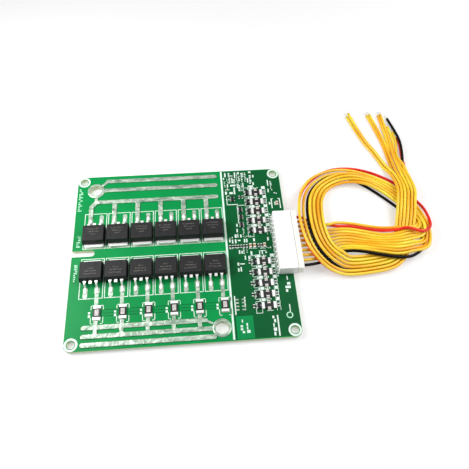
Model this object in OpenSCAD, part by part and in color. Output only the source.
// Battery management board: one green circuit board with two rows of power
// transistors, current shunts, cell balancing parts, a side-entry header and the
// plug with its eleven-wire sensing harness lying beside the board.
// Frame: origin on the underside at the centre of the mounting holes, +X towards
// the header, +Y across the board, +Z up. Millimetres.

/* [Board] */
// Length of the board along X
board_l = 100; // [98:1:106]
// Width of the board along Y
board_w = 88; // [88:1:96]
// Thickness of the laminate
board_t = 1.6; // [1:0.1:2.4]
// Radius of the board's corners
corner_r = 3; // [1:0.5:4]
// Distance of each mounting hole from both edges
hole_inset = 3; // [2.5:0.25:4]
// Diameter of the mounting holes
hole_d = 3.4; // [2.5:0.1:4]
// Length of the isolation slot cut in from the left edge
slot_l = 10.2; // [6:0.2:12]
// Width of the isolation slot
slot_w = 3; // [2:0.2:3.4]

/* [Solder and pads] */
// Height of the tinned current tracks above the board
bus_h = 0.45; // [0.2:0.05:0.8]
// Width of the tinned current tracks
bus_w = 2.2; // [1.6:0.1:2.6]
// Thickness of a component pad
pad_t = 0.1; // [0.05:0.05:0.15]
// Radius of the two terminal holes after plating
terminal_r = 2.8; // [2:0.1:3]
// Outer radius of the solder ring round a terminal hole
ring_r = 4.1; // [3.6:0.1:4.4]
// Height of the solder left below the board, on which it stands
below_h = 0.6; // [0.4:0.1:1.5]

/* [Power transistors] */
// Transistors in each row
fet_count = 6; // [2:1:6]
// Width of the moulded body
fet_w = 10; // [9.4:0.1:10.2]
// Length of the moulded body
fet_l = 9.2; // [8.6:0.1:9.6]
// Height of the moulded body
fet_h = 4.4; // [4:0.1:4.8]
// Length of drain tab left bare
tab_bare = 1.3; // [0.8:0.1:1.6]
// Thickness of the drain tab
tab_t = 1.27; // [1:0.05:1.5]
// Spacing of the leads
lead_pitch = 2.54; // [2.3:0.01:2.6]
// Thickness of the leads
lead_t = 0.5; // [0.4:0.05:0.6]

/* [Resistors and small parts] */
// Length of a shunt or balancing resistor
res_l = 6.3; // [6:0.1:6.5]
// Width of a shunt or balancing resistor
res_w = 3.2; // [2.6:0.1:3.4]
// Thickness of a shunt or balancing resistor
res_h = 0.65; // [0.5:0.05:0.9]
// Length of a resistor's metal end
res_end = 1.15; // [0.8:0.05:1.4]
// Balancing channels on each side of the middle
channels = 5; // [1:1:5]
// Spacing of the balancing channels along Y
channel_pitch = 5.35; // [5:0.05:5.5]
// Height of the small moulded chips
chip_h = 1; // [0.8:0.05:1.2]

/* [Connector] */
// Spacing of the eleven ways
way_pitch = 2.5; // [2.5:0.1:2.5]
// Height of the header housing
header_h = 6.1; // [5.8:0.1:6.6]
// Depth of the header housing along X
header_l = 8.3; // [7.6:0.1:9]
// Wall of the header housing
header_wall = 0.8; // [0.6:0.05:1]
// How far the header stands out past the board's edge
overhang = 1.5; // [0.5:0.1:2.5]
// Side of the square pins
pin_s = 0.64; // [0.5:0.02:0.7]
// Clearance between plug and header
plug_gap = 0.15; // [0.05:0.05:0.3]

/* [Harness] */
// Outer diameter of a wire
wire_d = 1.5; // [1.2:0.05:1.5]
// Diameter of the tinned strand at a wire's bare end
strand_d = 0.7; // [0.4:0.05:0.9]
// Length of tinned strand left bare
strand_l = 2.5; // [1:0.5:6]

/* [Hidden] */
$fn = 32;
eps = 0.01;

function two(i) = str(i < 9 ? "0" : "", i + 1);
FET_BODIES = [for (i = [0:2 * fet_count - 1]) str("transistor_", two(i), "_body")];
FET_FRAMES = [for (i = [0:2 * fet_count - 1]) str("transistor_", two(i), "_leadframe")];
WIRES = ["wire_red", "wire_yellow_1", "wire_yellow_2", "wire_yellow_3",
    "wire_yellow_4", "wire_yellow_5", "wire_yellow_6", "wire_yellow_7",
    "wire_yellow_8", "wire_yellow_9", "wire_black"];

// Board edges and the two levels everything stands on
edge_x = board_l / 2;
edge_y = board_w / 2;
hole_x = edge_x - hole_inset;
hole_y = edge_y - hole_inset;
top = board_t;
pad_top = board_t + pad_t;

// The upper terminal hole, measured from its corner
terminal_p = [9 - edge_x, edge_y - 8.5];
slot_y = 1.2;

// Transistor rows: the tab's edge of each row, leads away from the middle
control_l = 29.3;
free_l = board_l - control_l - fet_count * fet_w;
fet_pitch = fet_w + free_l / 10.7;
fet_x0 = fet_w / 2 + free_l * 4.9 / 10.7 - edge_x;
upper_tab_y = 3.8;
lower_tab_y = -3.2;
fet_back = tab_bare + fet_l;
lead_z = 2.2;
foot_l = 2.3;
lead_reach = fet_back + 4.7;
lead_w = 0.8;
function fet_x(i) = fet_x0 + fet_pitch * i;
source_x = -lead_pitch;
pad_reach = lead_reach + 0.2;

// Below the lower row everything shares the room to the board's edge
lower_end = pad_reach - lower_tab_y;
function lower_at(d) = -lower_end - d * (edge_y - lower_end) / 25.4;
terminal_b = [66 - edge_x, lower_at(19.4)];
// Shunts stand in line with the lower row's source leads
shunt_dx = 3.1;
shunt_y = lower_at(9.2);
shunt_x = [for (i = [0:fet_count - 1]) fet_x(i) + shunt_dx];
land_l = 0.3;
shunt_top_y = shunt_y + res_l / 2 + land_l;
shunt_low_y = shunt_y - res_l / 2 - land_l;

// Balancing channels, mirrored about the middle of the right-hand section
balance_x = edge_x - 12.9;
balance_mid_y = 0.2;
balance_first = 8.2;
balance_y = [for (s = [1, -1], i = [0:channels - 1])
    balance_mid_y + s * (balance_first + channel_pitch * i)];
sot_w = 1.3;
sot_l = 2.9;
sot_reach = 0.5;
sot_pitch = 0.95;
sot_x = balance_x - res_l / 2 - sot_reach - 0.05 - sot_w / 2;

// Header, its pins and the plug
header_end = 2.45;
header_half = 5 * way_pitch + header_end;
header_x1 = edge_x + overhang;
header_x0 = header_x1 - header_l;
header_back = 2;
pin_z = board_t + header_h / 2;
pin_x = header_x0 - 0.55;
pin_hole_d = 1;
pin_tip = header_x1 - 1.8;
way_y = [for (k = [0:10]) (5 - k) * way_pitch];
flange_l = 2.5;
flange_gap = 0.2;
plug_x1 = header_x1 + flange_gap + flange_l;
cavity_s = 1.9;
contact_s = 1.6;
contact_x0 = header_x0 + header_back + 0.8;
contact_x1 = pin_tip + 0.4;
crimp_d = 1.2;
wire_x0 = plug_x1 - 2.2;

// ---- board and solder ----

module round_rect(w, l, r) {
    square([w - 2 * r, l], center = true);
    square([w, l - 2 * r], center = true);
    for (x = [-1, 1], y = [-1, 1]) translate([x * (w / 2 - r), y * (l / 2 - r)]) circle(r);
}

module circuit_board() color("forestgreen") difference() {
    linear_extrude(board_t) round_rect(board_l, board_w, corner_r);
    for (x = [-1, 1], y = [-1, 1])
        translate([x * hole_x, y * hole_y, -eps]) cylinder(h = board_t + 2 * eps, d = hole_d);
    for (p = [terminal_p, terminal_b])
        translate([p.x, p.y, -eps]) cylinder(h = board_t + 2 * eps, r = terminal_r);
    for (y = way_y)
        translate([pin_x, y, -eps]) cylinder(h = board_t + 2 * eps, d = pin_hole_d);
    translate([-edge_x + slot_l - slot_w / 2, slot_y, -eps])
        cylinder(h = board_t + 2 * eps, d = slot_w);
    translate([-edge_x - 1, slot_y - slot_w / 2, -eps])
        cube([slot_l - slot_w / 2 + 1, slot_w, board_t + 2 * eps]);
}

// A bar with round ends between two points
module bar(a, b, w) {
    d = b - a;
    translate(a) circle(d = w);
    translate(b) circle(d = w);
    translate(a) rotate(atan2(d.y, d.x)) translate([0, 0.02 - w / 2])
        square([norm(d), w - 0.04]);
}

// Solder laid on the board, kept clear of a terminal ring
module solder(hole) translate([0, 0, top]) linear_extrude(bus_h) difference() {
    children();
    translate(hole) circle(ring_r);
}

upper_y = [edge_y - 3.2, edge_y - 8.5, edge_y - 15.3];
upper_x0 = [14.5, 12.5, 9.5] - [edge_x, edge_x, edge_x];
upper_x1 = fet_x(fet_count - 1) + 2.6;
upper_foot = upper_tab_y + pad_reach;

module upper_bus_solder() color("gainsboro") solder(terminal_p) {
    for (k = [0:2]) bar([upper_x0[k], upper_y[k]], [upper_x1, upper_y[k]], bus_w);
    bar(terminal_p, [upper_x0[0], upper_y[0]], 1.4);
    bar(terminal_p, [upper_x0[2], upper_y[2]], 1.6);
    bar([upper_x0[2], upper_y[2]], [fet_x(0) + source_x, upper_y[2] - 2.5], bus_w);
    for (i = [0:fet_count - 1]) translate([fet_x(i) + source_x - bus_w / 2, upper_foot])
        square([bus_w, upper_y[2] - upper_foot - (i == 0 ? 2.5 : 0)]);
}

lower_y = [lower_at(15.6), lower_at(19.4), lower_at(23)];
lower_x0 = 7.8 - edge_x;
lower_x1 = [9, 12.5, 12.5] + [terminal_b.x, terminal_b.x, terminal_b.x] - [16, 16, 16];

module lower_bus_solder() color("gainsboro") solder(terminal_b) {
    for (k = [0:2]) bar([lower_x0, lower_y[k]], [lower_x1[k], lower_y[k]], bus_w);
    bar([lower_x1[0], lower_y[0]], terminal_b, 1.2);
    bar([lower_x1[2], lower_y[2]], terminal_b, 1.2);
    for (i = [0:max(0, fet_count - 2)]) {
        translate([shunt_x[i] - 0.2 - 0.9, lower_y[0]])
            square([1.8, shunt_low_y - lower_y[0]]);
        bar([shunt_x[i] - 0.4, lower_y[0]], [shunt_x[i] - 0.2, lower_y[1]], 1.8);
    }
}

// Copper and solder rings on the two faces round a terminal hole. The copper
// between them, in the hole, is only a film
module terminal_ring() {
    rotate_extrude() polygon([[terminal_r, -below_h], [ring_r - 0.5, -below_h],
        [ring_r, -below_h / 2], [ring_r, 0], [terminal_r, 0]]);
    rotate_extrude() polygon([[terminal_r, board_t], [ring_r, board_t],
        [ring_r, board_t + bus_h / 2], [ring_r - 0.5, board_t + bus_h],
        [terminal_r, board_t + bus_h]]);
}

module terminal_plating() color("silver")
    for (p = [terminal_p, terminal_b]) translate([p.x, p.y, 0]) terminal_ring();

// Where each transistor stands: index 0 to 5 is the upper row, 6 to 11 the lower
module at_fet(i) {
    lower = i >= fet_count;
    translate([fet_x(lower ? i - fet_count : i), lower ? lower_tab_y : upper_tab_y, 0])
        rotate(lower ? 180 : 0) children();
}

module pad(x0, y0, x1, y1) translate([x0, y0, top]) cube([x1 - x0, y1 - y0, pad_t]);

module fet_pads() {
    pad(-4.7, -0.4, 4.7, fet_back - 2.6);
    pad(source_x - bus_w / 2, lead_reach - foot_l - 0.4, source_x + bus_w / 2, pad_reach);
    translate([lead_pitch, 0, top]) linear_extrude(pad_t)
        bar([0, lead_reach - foot_l + 0.6], [0, pad_reach + 1.2], 2);
}

module component_pads() color("silver") {
    for (i = [0:2 * fet_count - 1]) at_fet(i) fet_pads();
    for (i = [0:fet_count - 1]) {
        pad(shunt_x[i] - 1.4, shunt_top_y, fet_x(i) + lead_pitch + bus_w / 2 - 0.3,
            lower_tab_y - pad_reach);
        for (s = [-1, 1]) translate([shunt_x[i], shunt_y + s * (res_l / 2 + land_l - 0.9)])
            pad(-res_w / 2 - 0.1, -0.9, res_w / 2 + 0.1, 0.9);
    }
    for (y = balance_y) {
        for (s = [-1, 1]) translate([balance_x + s * (res_l / 2 - 0.6), y])
            pad(-0.6, -res_w / 2 + 0.1, 0.6, res_w / 2 - 0.1);
    }
    // The lands of an eight-lead chip that this version leaves off
    for (s = [-1, 1], k = [0:3])
        translate([edge_x - 25.3 + s * 1.45, balance_mid_y - 26 - k * 1.57])
            pad(-0.8, -0.32, 0.8, 0.32);
}

// ---- power transistors ----

// Side outline of the moulding: tab face, sloped top, lead face with a parting line
module fet_side() polygon([[tab_bare, 0], [tab_bare, 1.9], [tab_bare + 0.55, fet_h],
    [fet_back - 0.75, fet_h], [fet_back - 0.05, lead_z + 0.5], [fet_back, lead_z + 0.25],
    [fet_back, 1.6], [fet_back - 0.35, 0]]);

// End outline: sides drafted in towards the top
module fet_end() polygon([[-fet_w / 2 + 0.15, 0], [-fet_w / 2, 1.9],
    [-fet_w / 2 + 0.3, fet_h], [fet_w / 2 - 0.3, fet_h], [fet_w / 2, 1.9],
    [fet_w / 2 - 0.15, 0]]);

module tab_outline() polygon([[-3.6, 0], [3.6, 0], [4.4, 0.8], [4.4, tab_bare + 0.8],
    [3.8, tab_bare + 1.4], [3.8, fet_back - 2.8], [-3.8, fet_back - 2.8],
    [-3.8, tab_bare + 1.4], [-4.4, tab_bare + 0.8], [-4.4, 0.8]]);

module lead_root(w) translate([-w / 2, fet_back - 1.6, lead_z]) cube([w, 1.6, lead_t]);

module fet_body() color([0.16, 0.16, 0.18]) difference() {
    intersection() {
        rotate([90, 0, 90]) translate([0, 0, -fet_w / 2 - 1]) linear_extrude(fet_w + 2)
            fet_side();
        translate([0, fet_back + 1, 0]) rotate([90, 0, 0]) linear_extrude(fet_l + 2)
            fet_end();
    }
    translate([0, 0, -eps]) linear_extrude(tab_t + eps) tab_outline();
    for (k = [-1:1]) translate([k * lead_pitch, 0, 0]) lead_root(1.3);
    translate([-2.4, tab_bare + 2.4, fet_h - 0.12]) cylinder(h = 1, r = 0.75);
}

// A gull-wing lead, drawn from the side: shoulder, bend and foot
module lead_side() polygon([[fet_back - 1.6, lead_z], [fet_back + 0.75, lead_z],
    [fet_back + 1.25, lead_z - 0.35], [lead_reach - foot_l - 0.35, 0.25],
    [lead_reach - foot_l + 0.05, 0], [lead_reach, 0], [lead_reach, lead_t],
    [lead_reach - foot_l + 0.35, lead_t], [lead_reach - foot_l + 0.1, lead_t + 0.1],
    [fet_back + 1.65, lead_z + 0.1], [fet_back + 1.05, lead_z + lead_t],
    [fet_back - 1.6, lead_z + lead_t]]);

module fet_leadframe() color("gainsboro") {
    linear_extrude(tab_t) tab_outline();
    for (s = [-1, 1]) translate([s * lead_pitch, 0, 0]) {
        rotate([90, 0, 90]) translate([0, 0, -lead_w / 2]) linear_extrude(lead_w)
            lead_side();
        translate([-0.65, fet_back - 1.6, lead_z]) cube([1.3, 2.2, lead_t]);
    }
    translate([-0.65, fet_back - 1.6, lead_z]) cube([1.3, 2.9, lead_t]);
}

module on_pads() translate([0, 0, pad_top]) children();

// ---- resistors ----

module chip_core(l, w, h, end) {
    cap = 0.06;
    translate([-l / 2 + cap, -w / 2 + cap, cap])
        cube([l - 2 * cap, w - 2 * cap, h - 2 * cap]);
    translate([-l / 2 + end, -w / 2 + cap / 2, h - cap - eps])
        cube([l - 2 * end, w - cap, cap + eps]);
}

module chip_caps(l, w, h, end) {
    cap = 0.06;
    difference() {
        for (s = [-1, 1]) translate([s * (l - end) / 2 - end / 2, -w / 2, 0])
            cube([end, w, h]);
        translate([-l / 2 + cap, -w / 2 + cap, cap])
            cube([l - 2 * cap, w - 2 * cap, h - 2 * cap]);
    }
}

module at_shunts() for (x = shunt_x) translate([x, shunt_y, pad_top]) rotate(90) children();
module at_balance() for (y = balance_y) translate([balance_x, y, pad_top]) children();

module shunt_resistors() color([0.18, 0.18, 0.2])
    at_shunts() chip_core(res_l, res_w, res_h, res_end);
module shunt_terminals() color("gainsboro")
    at_shunts() chip_caps(res_l, res_w, res_h, res_end);
module balance_resistors() color([0.14, 0.14, 0.15])
    at_balance() chip_core(res_l, res_w - 0.2, res_h, res_end);
module balance_terminals() color("gainsboro")
    at_balance() chip_caps(res_l, res_w - 0.2, res_h, res_end);

// ---- small chips ----

// Three-lead switches of the channels, then the measuring chips with six leads:
// [x, y, leads on the left, leads on the right]
small_chips = concat([for (y = balance_y) [sot_x, y, 2, 1]],
    [for (y = [20, 15.8, 11.6]) [edge_x - 21.3, balance_mid_y + y, 3, 3]],
    [[edge_x - 24.6, balance_mid_y + 26.4, 3, 2]]);

function lead_ys(n) = n == 1 ? [0] : n == 2 ? [-sot_pitch, sot_pitch] :
    [-sot_pitch, 0, sot_pitch];

module chip_body() difference() {
    intersection() {
        rotate([90, 0, 0]) translate([0, 0, -sot_l / 2]) linear_extrude(sot_l)
            polygon([[-sot_w / 2 + 0.1, 0.1], [-sot_w / 2, 0.55], [-sot_w / 2 + 0.2, chip_h],
                [sot_w / 2 - 0.1, chip_h], [sot_w / 2, 0.55], [sot_w / 2 - 0.1, 0.1]]);
        rotate([90, 0, 90]) translate([0, 0, -sot_w / 2]) linear_extrude(sot_w)
            polygon([[-sot_l / 2 + 0.1, 0.1], [-sot_l / 2, 0.55], [-sot_l / 2 + 0.1, chip_h],
                [sot_l / 2 - 0.1, chip_h], [sot_l / 2, 0.55], [sot_l / 2 - 0.1, 0.1]]);
    }
}

module chip_lead() rotate([90, 0, 0]) translate([0, 0, -0.2]) linear_extrude(0.4)
    polygon([[sot_w / 2, 0.5], [sot_w / 2 + 0.12, 0.5], [sot_w / 2 + 0.22, 0],
        [sot_w / 2 + sot_reach, 0], [sot_w / 2 + sot_reach, 0.12],
        [sot_w / 2 + 0.3, 0.12], [sot_w / 2 + 0.2, 0.62], [sot_w / 2, 0.62]]);

module control_chips() color([0.13, 0.13, 0.14])
    for (c = small_chips) translate([c[0], c[1], top]) chip_body();

module control_chip_leads() color("gainsboro")
    for (c = small_chips) translate([c[0], c[1], top]) {
        for (y = lead_ys(c[2])) translate([0, y, 0]) mirror([1, 0, 0]) chip_lead();
        for (y = lead_ys(c[3])) translate([0, y, 0]) chip_lead();
    }

// Chip parts standing across the board: [x, y]
r_l = 1.6;
r_w = 0.8;
r_h = 0.45;
c_l = 2;
c_w = 1.25;
c_h = 0.8;
mid_row_y = balance_mid_y + 0.1;
chip_r_at = concat([for (k = [0:6]) [edge_x - 27.8 + 1.32 * k, mid_row_y]],
    [for (x = [14.4, 13.1]) [edge_x - x, mid_row_y]],
    [for (y = balance_y) [edge_x - 8.7, y]],
    [for (i = [0:channels - 1]) [edge_x - 19.5, balance_y[channels + i]]],
    [for (x = [21.2, 19.6]) [edge_x - x, balance_mid_y + 27.3]]);
chip_c_at = concat([for (x = [18.2, 16.3, 11.6]) [edge_x - x, mid_row_y]],
    [[edge_x - 3, 23]]);

module chip_r_place() for (p = chip_r_at) translate([p.x, p.y, top]) rotate(90) children();
module chip_c_place() for (p = chip_c_at) translate([p.x, p.y, top]) rotate(90) children();

module chip_resistors() color([0.15, 0.15, 0.16])
    chip_r_place() chip_core(r_l, r_w, r_h, 0.35);
module chip_capacitors() color([0.72, 0.6, 0.45])
    chip_c_place() chip_core(c_l, c_w, c_h, 0.45);
module chip_ends() color("gainsboro") {
    chip_r_place() chip_caps(r_l, r_w, r_h, 0.35);
    chip_c_place() chip_caps(c_l, c_w, c_h, 0.45);
}

// ---- connector ----

module header_housing() color("whitesmoke") difference() {
    translate([header_x0, -header_half, board_t])
        cube([header_l, 2 * header_half, header_h]);
    translate([header_x0 + header_back, -header_half + header_wall, board_t + header_wall])
        cube([header_l, 2 * (header_half - header_wall), header_h - 2 * header_wall]);
    for (y = way_y) translate([header_x0 - eps, y - pin_s / 2, pin_z - pin_s / 2])
        cube([header_back + 2 * eps, pin_s, pin_s]);
}

module header_pin() {
    translate([pin_x - pin_s / 2, -pin_s / 2, pin_z - pin_s / 2])
        cube([pin_tip - pin_x + pin_s / 2, pin_s, pin_s]);
    translate([pin_x - pin_s / 2, -pin_s / 2, -below_h])
        cube([pin_s, pin_s, pin_z + pin_s / 2 + below_h]);
}

module header_pins() color("silver") for (y = way_y) translate([0, y, 0]) header_pin();

module header_solder() color("gainsboro") for (y = way_y) translate([pin_x, y, 0])
    difference() {
        union() {
            cylinder(h = board_t, d = pin_hole_d);
            translate([0, 0, -below_h + 0.1])
                cylinder(h = below_h - 0.1, r1 = 0.55, r2 = 0.95);
            translate([0, 0, board_t]) cylinder(h = 0.4, r1 = 0.54, r2 = 0.45);
        }
        translate([-pin_s / 2, -pin_s / 2, -1 - below_h])
            cube([pin_s, pin_s, board_t + below_h + 3]);
    }

plug_half = header_half - header_wall - plug_gap;
plug_z0 = board_t + header_wall + plug_gap;
plug_z1 = board_t + header_h - header_wall - plug_gap;

module plug_housing() color("ivory") difference() {
    union() {
        translate([header_x0 + header_back + plug_gap, -plug_half, plug_z0])
            cube([header_l, 2 * plug_half, plug_z1 - plug_z0]);
        translate([header_x1 + flange_gap, -header_half, plug_z0 - 0.6])
            cube([flange_l, 2 * header_half, plug_z1 - plug_z0 + 1.2]);
    }
    for (y = way_y) translate([header_x0, y - cavity_s / 2, pin_z - cavity_s / 2])
        cube([plug_x1 - header_x0 + 1, cavity_s, cavity_s]);
}

module crimp_contacts() color("silver") for (y = way_y) translate([0, y, pin_z]) {
    difference() {
        translate([contact_x0, -contact_s / 2, -contact_s / 2])
            cube([contact_x1 - contact_x0, contact_s, contact_s]);
        translate([contact_x0 - 1, -pin_s / 2 - 0.1, -pin_s / 2 - 0.1])
            cube([pin_tip + 1.2 - contact_x0, pin_s + 0.2, pin_s + 0.2]);
    }
    translate([contact_x1, 0, 0]) rotate([0, 90, 0])
        cylinder(h = wire_x0 - contact_x1, d = crimp_d);
}

// ---- harness ----
// Each station along the harness is [x, y, heading, lanes, heights]. The lanes are
// the distances to the right of the run, and the heights stand above the table, both
// for the red wire, the nine yellow ones and the black one in turn.
table_z = -below_h;
rest = wire_d / 2;
layer = 1.3;
plug_h = pin_z - table_z;
PLUG = [-5, -4, -3, -2, -1, 0, 1, 2, 3, 4, 5];
RUN = [-4, -5, -3, -2, -1, 0, 1, 2, 3, 4, 5];
LOOP = [7.5, -4, -2, -3, -1, 0, 1, 2, 3, 4, -6];
LEFT = [6, -5, -3, -4, -2, -1, 0, 1, 4, 6.2, 2.1];
BASE = [4, -5, -3, -4, -2, -1, 0, 1, 3, 5, 2];
LOOP_UP = [0, 1, 1, 0, 0, 1, 0, 1, 0, 1, 0] * layer;
LEFT_UP = [0, 1, 1, 0, 0, 1, 0, 1, 0, 1.15, 0] * layer;
BASE_UP = [0, 1, 1, 0, 0, 1, 0, 1, 1, 1, 0] * layer;
// The same height for every wire, and a height that climbs from the inside lane out
function flat(h) = [for (k = [0:10]) h];
function tilt(lanes, up, a, b) = [for (k = [0:10])
    rest + up[k] + a + (b - a) * min(1, max(0, (lanes[k] + 5) / 10))];
STATIONS = [
    [52, 0, 0, PLUG * 2.5, flat(plug_h)],
    [56.5, 0, 0, PLUG * 2.5, flat(plug_h)],
    [61, 0.4, 6, PLUG * 2.3, flat(3.4)],
    [66, 1.2, 8, PLUG * 2, [1.1, 1.6, 1.1, 1.1, 1.1, 1.1, 1.1, 1.1, 1.1, 1.1, 1.1]],
    [71, 2, 5, [-8.2, -7.4, -5.4, -3.6, -1.8, 0, 1.8, 3.6, 5.4, 7.2, 8.9],
        [0.7, 2.6, 0.7, 0.7, 0.7, 0.7, 0.7, 0.7, 0.7, 0.7, 0.7]],
    [75, 2.7, -1, [-6.4, -7.9, -4.8, -3.2, -1.6, 0, 1.6, 3.2, 4.8, 6.4, 8.1],
        [0.7, 1.5, 0.7, 0.7, 0.7, 0.7, 0.7, 0.7, 0.7, 1, 1.6]],
    [80, 2.4, -9, RUN * 1.6, [0.7, 0.7, 0.7, 0.7, 0.7, 0.7, 0.7, 0.7, 1.3, 1.9, 2.6]],
    [86, 0.9, -13, RUN * 1.6, [0.7, 0.7, 0.7, 0.7, 0.7, 0.7, 1.2, 1.9, 2.6, 3.3, 3.7]],
    [94, -1.3, -13, RUN * 1.6, [1.4, 1.4, 0.7, 1.1, 1.7, 2.3, 2.9, 3.4, 3.8, 3.8, 3.8]],
    [100.5, -2.9, -9, RUN * 1.55, [4.6, 4, 3.9, 4.2, 4.5, 4.8, 4.8, 4.8, 4.6, 4.2, 3.8]],
    [106.5, -3.4, 4, [-6.3, -7.2, -5.7, -4.2, -2.7, -1.2, 0.3, 1.8, 3.3, 4.8, 6.5],
        [6.8, 5.4, 5.2, 5, 4.9, 4.8, 4.7, 4.6, 4.4, 4.2, 3]],
    [113.4, -0.4, 22, [-1, -5.4, -4, -2.7, -1.3, 0, 1.3, 2.7, 4, 5.4, 3],
        [6.9, 4.7, 5.5, 3.4, 4.3, 5.2, 2.9, 3.9, 2.5, 3.5, 0.7]],
    [114.7, 6.8, 62, [4.2, -2, -1, -1, 0, 1, 1, 2, 3, 4, -4],
        [5, 2.9, 4.2, 1.9, 3.1, 4.6, 2.2, 3.5, 2.2, 3.4, 0.7]],
    [113.8, 13.8, 104, [6, -3.2, -1.6, -2.4, -0.8, 0, 0.8, 1.6, 2.4, 3.2, -5.4],
        [1.6, 2, 2, 0.7, 0.7, 2, 0.7, 2, 0.7, 2, 0.7]],
    [111.8, 18.8, 118, LOOP * 0.8, tilt(LOOP, LOOP_UP, 0, 0)],
    [108.4, 23.7, 130, LOOP * 0.85, tilt(LOOP, LOOP_UP, 0, 0)],
    [102.4, 29.4, 142, [7.5, -4, -2, -3, -1, 0, 1, 2, 3, 4, -5.5] * 0.85,
        tilt(LOOP, LOOP_UP, 0, 0) + [0, 0.8, 0.6, 0.6, 0.2, 0.2, 0, 0, 0, 0, 0]],
    [94.4, 34.2, 156, [7.5, -4, -2, -3, -1, 0, 1, 2, 3, 4, -3.4] * 0.85,
        tilt(LOOP, LOOP_UP, 0, 0) + [0, 1.6, 1.6, 1.6, 1.2, 1.1, 0.4, 0.3, 0, 0, 0]],
    [85.5, 36.8, 170, [7.3, -4.5, -2.5, -3.5, -1.5, -0.5, 0.5, 1.5, 3.3, 4.7, -0.2] * 0.85,
        tilt(LOOP, LOOP_UP, 0, 0) + [0, 0.9, 1.3, 1, 1.4, 1.6, 1.5, 1.4, 0.2, 0.1, 0]],
    [77, 36.3, 190, [6.9, -5, -3, -4, -2, -1, 0, 1, 4, 5.4, 2.1] * 0.85,
        tilt(LEFT, LEFT_UP, 0, 0) + [0, 0, 0.2, 0.1, 0.3, 0.5, 0.6, 0.6, 0, 0, 0]],
    [69.8, 32.2, 216, LEFT * 0.9, tilt(LEFT, LEFT_UP, 0, 0.3)],
    [65, 25, 241, LEFT * 0.98, tilt(LEFT, LEFT_UP, 0.8, 2.8)],
    [62.8, 16.5, 262, LEFT * 1.04, tilt(LEFT, LEFT_UP, 1.9, 5.6)],
    [62.4, 8, 271, LEFT * 1.05, tilt(LEFT, LEFT_UP, 2.4, 6)],
    [63.6, 0, 285, LEFT * 1.05, tilt(LEFT, LEFT_UP, 2.2, 5.8)],
    [66.2, -5.8, 302, LEFT * 1.03, tilt(LEFT, LEFT_UP, 2, 4.8)],
    [71, -10.3, 323, [5.2, -5, -3, -4, -2, -1, 0, 1, 3.6, 5.8, 2] * 0.95,
        tilt(LEFT, LEFT_UP, 2.2, 1) + [0, 0, 0, 0, 0, 0, 0, 0, 0.6, 0, 0]],
    [77.5, -12.8, 346, BASE * 0.9, tilt(BASE, BASE_UP, 0.4, 0)],
    [93, -11.5, 17, BASE * 0.85, tilt(BASE, BASE_UP, 0, 0)],
    [99.5, -8.3, 38, BASE * 0.82, tilt(BASE, BASE_UP, 0, 0)],
    [103.9, -2.6, 60, BASE * 0.77, tilt(BASE, BASE_UP, 0, 0)],
    [106.3, 4, 72, BASE * 0.78, tilt(BASE, BASE_UP, 0, 0.8)],
    [108.2, 11, 75, BASE * 0.8, tilt(BASE, BASE_UP, 1.9, 3.1)],
    [110.3, 18.5, 77, BASE * 0.83, tilt(BASE, BASE_UP, 3, 3)],
    [112.2, 26.5, 79, BASE * 0.87, tilt(BASE, BASE_UP, 2.9, 2.7)]];
// Where each wire lies beyond the bundle: [x, y, height]
TAILS = [
    [[115.8, 36.5, 0.8], [116.9, 42, 0.7], [117, 49, 0.7], [117.9, 56, 0.7], [117.9, 62, 0.7]],
    [[107.4, 36.5, 2.7], [105.2, 43, 0.7], [102.1, 52, 0.7], [97.9, 61.7, 0.7], [93.2, 78.3, 0.7]],
    [[109.4, 36.5, 2.8], [106.1, 43.8, 1.95], [103, 52, 1.95], [98.7, 62, 1.95], [94, 79.6, 1.9]],
    [[108.4, 36.5, 1.6], [106.8, 43.2, 0.7], [103.8, 52.3, 0.7], [99.5, 62.3, 0.7], [94.8, 78.9, 0.7]],
    [[110.3, 36.5, 1.4], [109.7, 42, 0.9], [109.2, 50, 0.7], [108.3, 60, 0.7], [104.6, 78.8, 0.7]],
    [[111.2, 36.5, 2.7], [110.6, 42, 2.3], [110, 50, 2], [109.9, 60, 0.7], [106.2, 79.4, 0.7]],
    [[112.1, 36.5, 1.4], [111.6, 42, 0.9], [111, 50, 0.7], [111.6, 60, 0.7], [111, 78.5, 0.7]],
    [[113, 36.5, 2.7], [112.5, 42, 2.3], [112, 50, 2], [113.1, 60, 0.7], [112.5, 79.1, 0.7]],
    [[114.4, 36.5, 3.4], [113.8, 42, 2.3], [113.2, 50, 0.8], [114.8, 60, 0.7], [114.4, 70, 0.7]],
    [[115.9, 36.5, 3.3], [115.1, 42, 3.3], [114.6, 50, 0.8], [116.4, 59, 0.7], [116.2, 66, 0.7]],
    [[114.2, 36.5, 0.8], [115.4, 42, 1.4], [116.9, 49, 2.15], [117.8, 60, 2.1], [115.6, 75.8, 0.7]]];

function route(k) = concat(
    [for (s = STATIONS) [s[0] + s[3][k] * sin(s[2]), s[1] - s[3][k] * cos(s[2]),
        table_z + s[4][k]]],
    [for (t = TAILS[k]) [t.x, t.y, table_z + t.z]]);
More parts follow.
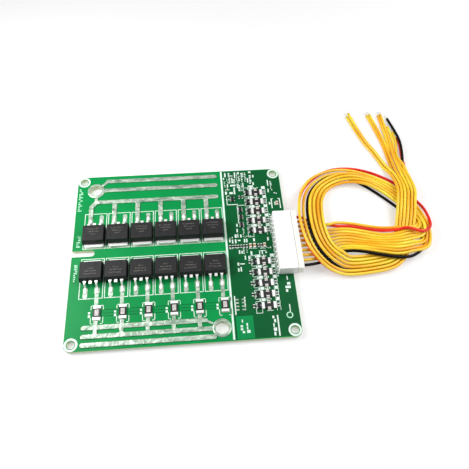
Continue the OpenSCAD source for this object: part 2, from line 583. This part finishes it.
// A smooth curve through the points of a route, never sinking below the table
function mid(a, b, c, d) = let (m = (9 * (b + c) - a - d) / 16)
    [m.x, m.y, max(m.z, table_z + rest)];
function smooth(p) = let (n = len(p) - 1) [for (i = [0:n]) each
    i == n ? [p[n]] : [p[i], mid(i > 0 ? p[i - 1] : 2 * p[0] - p[1], p[i], p[i + 1],
        i + 2 <= n ? p[i + 2] : 2 * p[n] - p[n - 1])]];
function unit(v) = v / norm(v);
function heading(p, i) = let (n = len(p) - 1)
    i == 0 ? [1, 0, 0] : unit(p[min(n, i + 1)] - p[i - 1]);
module tube(p, r) {
    sides = 8;
    n = len(p);
    rings = [for (i = [0:n - 1]) let (t = heading(p, i), u = unit(cross(t, [0, 0, 1])),
        v = cross(u, t)) for (s = [0:sides - 1]) let (a = (s + 0.5) * 360 / sides)
        p[i] + r * (cos(a) * u + sin(a) * v)];
    polyhedron(rings, concat(
        [[for (s = [0:sides - 1]) s]],
        [for (i = [0:n - 2], s = [0:sides - 1]) let (a = i * sides + s,
            b = i * sides + (s + 1) % sides) each [[a, b + sides, b], [a, a + sides, b + sides]]],
        [[for (s = [sides - 1:-1:0]) (n - 1) * sides + s]]));
}
module wire(k) tube(smooth(route(k)), wire_d / 2);

module wire_red() color("red") wire(0);
module wire_yellow_1() color("gold") wire(1);
module wire_yellow_2() color("gold") wire(2);
module wire_yellow_3() color("gold") wire(3);
module wire_yellow_4() color("gold") wire(4);
module wire_yellow_5() color("gold") wire(5);
module wire_yellow_6() color("gold") wire(6);
module wire_yellow_7() color("gold") wire(7);
module wire_yellow_8() color("gold") wire(8);
module wire_yellow_9() color("gold") wire(9);
module wire_black() color([0.1, 0.1, 0.1]) wire(10);

module wire_strands() color("silver") for (k = [0:10]) {
    p = smooth(route(k));
    n = len(p) - 1;
    d = unit(p[n] - p[n - 1]);
    translate(p[n]) rotate([0, acos(d.z), atan2(d.y, d.x)])
        cylinder(h = strand_l, d = strand_d);
}

// ---- assembly ----

circuit_board();
upper_bus_solder();
lower_bus_solder();
terminal_plating();
component_pads();
for (i = [0:2 * fet_count - 1]) {
    at_fet(i) on_pads() fet_body();
    at_fet(i) on_pads() fet_leadframe();
}
shunt_resistors();
shunt_terminals();
balance_resistors();
balance_terminals();
control_chips();
control_chip_leads();
chip_resistors();
chip_capacitors();
chip_ends();
header_housing();
header_pins();
header_solder();
plug_housing();
crimp_contacts();
wire_red();
wire_yellow_1();
wire_yellow_2();
wire_yellow_3();
wire_yellow_4();
wire_yellow_5();
wire_yellow_6();
wire_yellow_7();
wire_yellow_8();
wire_yellow_9();
wire_black();
wire_strands();
